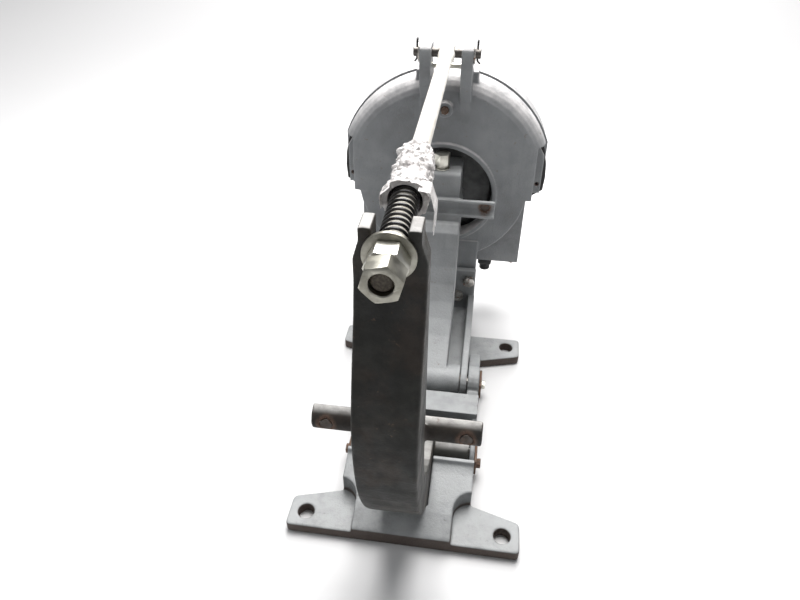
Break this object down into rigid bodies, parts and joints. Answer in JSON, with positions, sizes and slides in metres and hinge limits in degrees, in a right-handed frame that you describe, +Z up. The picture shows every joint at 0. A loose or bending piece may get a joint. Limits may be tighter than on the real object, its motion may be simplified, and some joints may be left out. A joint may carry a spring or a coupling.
{
  "type": "spring-set magnet-released drum brake",
  "caption": "Spring-set drum brake frame for cranes and mills: cast base, bowed outer lever, inner lever, domed magnet case, and a sprung tie rod with its nuts over the open wheel space.",
  "frame": {"origin": "centre of the four foundation holes, on the underside of the base", "axes": "+X along the wheel's axle, +Y from the outer lever to the magnet case, +Z up"},
  "size_m": [0.546, 1.097, 0.851],
  "materials": {
    "sprayed_paint": "satin medium grey paint sprayed over rough cast iron, dusty on top faces, worn to brown rust at the feet's edges and holes",
    "lever_paint": "dark grey-green paint over cast iron, matt, streaked, thin on the edges",
    "zinc": "bright zinc plate with a faint yellow cast, lightly smeared",
    "machined_steel": "turned steel, lightly oiled, dull",
    "rod_enamel": "off-white enamel on a round bar, bare and rusty at the threaded end",
    "black_steel": "blackened spring and magnet steel, oily",
    "rusty_steel": "unpainted steel with an even brown rust",
    "bronze": "cast bearing bronze, dull",
    "copper": "varnished and taped copper winding",
    "gasket_rubber": "black gasket and cable rubber, matt",
    "wrap_film": "crumpled white packing film, taped round the rod"
  },
  "bodies": {
    "base": {"base_casting": "sprayed_paint", "front_hinge_pin": "machined_steel", "rear_hinge_pin": "machined_steel", "front_keeper_left": "rusty_steel", "front_keeper_right": "rusty_steel", "front_keeper_bolt_left": "rusty_steel", "front_keeper_bolt_right": "rusty_steel", "rear_keeper_left": "rusty_steel", "rear_keeper_right": "rusty_steel", "rear_keeper_bolt_left": "rusty_steel", "rear_keeper_bolt_right": "zinc"},
    "outer_lever": {"outer_lever": "lever_paint", "outer_saddle_dowel_left": "rusty_steel", "outer_saddle_dowel_right": "rusty_steel", "outer_lever_bushing": "bronze"},
    "inner_lever": {"inner_lever": "sprayed_paint", "inner_saddle_dowel_left": "rusty_steel", "inner_saddle_dowel_right": "rusty_steel", "inner_lever_bushing": "bronze", "levelling_bolt": "zinc", "levelling_washer": "zinc", "levelling_lock_washer": "machined_steel", "armature": "black_steel", "armature_bolt_1": "black_steel", "armature_bolt_2": "black_steel", "armature_bolt_3": "black_steel", "armature_bolt_4": "black_steel"},
    "magnet_case": {"magnet_case": "sprayed_paint", "case_gasket": "gasket_rubber", "back_plate": "sprayed_paint", "rear_cover": "sprayed_paint", "cover_screw_left": "rusty_steel", "cover_screw_right": "rusty_steel", "lead_outlet": "gasket_rubber", "magnet_core": "black_steel", "magnet_coil": "copper", "torque_adjusting_screw": "zinc", "torque_lock_nut": "zinc", "torque_spring": "black_steel", "case_plug": "rusty_steel", "ear_cross_bar": "zinc", "clevis_pin": "machined_steel", "clevis_washer_left": "machined_steel", "clevis_washer_right": "machined_steel", "cotter_pin_left": "black_steel", "cotter_pin_right": "black_steel", "hinge_bracket": "sprayed_paint", "bracket_bolt_upper_left": "machined_steel", "bracket_bolt_upper_right": "machined_steel", "bracket_bolt_lower_left": "machined_steel", "bracket_bolt_lower_right": "machined_steel", "bracket_bushing_left": "bronze", "bracket_bushing_right": "bronze"},
    "tie_rod": {"tie_rod": "rod_enamel", "spring_collar": "black_steel", "take_up_spring": "black_steel", "rod_wrap": "wrap_film"},
    "thrust_washer": {"thrust_washer": "zinc"},
    "rod_nuts": {"adjusting_nut": "zinc", "jam_nut": "zinc"}
  },
  "joints": [
    {"name": "case_hinge", "type": "hinge", "parent": "base", "child": "magnet_case", "pos_m": [0, 0.115, 0.058], "axis": [1, 0, 0], "range_deg": [0, 0.36], "stiffness_Nm_per_rad": 1000, "springref_deg": -11.46, "deforming": ["torque_spring"]},
    {"name": "outer_lever_hinge", "type": "hinge", "parent": "base", "child": "outer_lever", "pos_m": [0, -0.115, 0.058], "axis": [1, 0, 0], "range_deg": [0, 0.37]},
    {"name": "inner_lever_hinge", "type": "hinge", "parent": "base", "child": "inner_lever", "pos_m": [0, 0.115, 0.058], "axis": [1, 0, 0], "range_deg": [-0.29, 0]},
    {"name": "rod_pivot", "type": "hinge", "parent": "magnet_case", "child": "tie_rod", "pos_m": [0, 0.42, 0.814], "axis": [1, 0, 0], "range_deg": [-0.1, 0]},
    {"name": "washer_slide", "type": "slide", "parent": "tie_rod", "child": "thrust_washer", "axis": [0, -1, 0], "range_m": [0, 0.011], "deforming": ["take_up_spring"]},
    {"name": "nut_turn", "type": "hinge", "parent": "thrust_washer", "child": "rod_nuts", "pos_m": [0, -0.43, 0.814], "axis": [0, -1, 0], "range_deg": [0, 1080]}
  ],
  "couplings": [
    {"joint": "outer_lever_hinge", "follows": "case_hinge", "ratio": 1},
    {"joint": "inner_lever_hinge", "follows": "case_hinge", "ratio": -0.8},
    {"joint": "rod_pivot", "follows": "case_hinge", "ratio": -0.271},
    {"joint": "washer_slide", "follows": "nut_turn", "m_per_rad": 0.0005777}
  ]
}
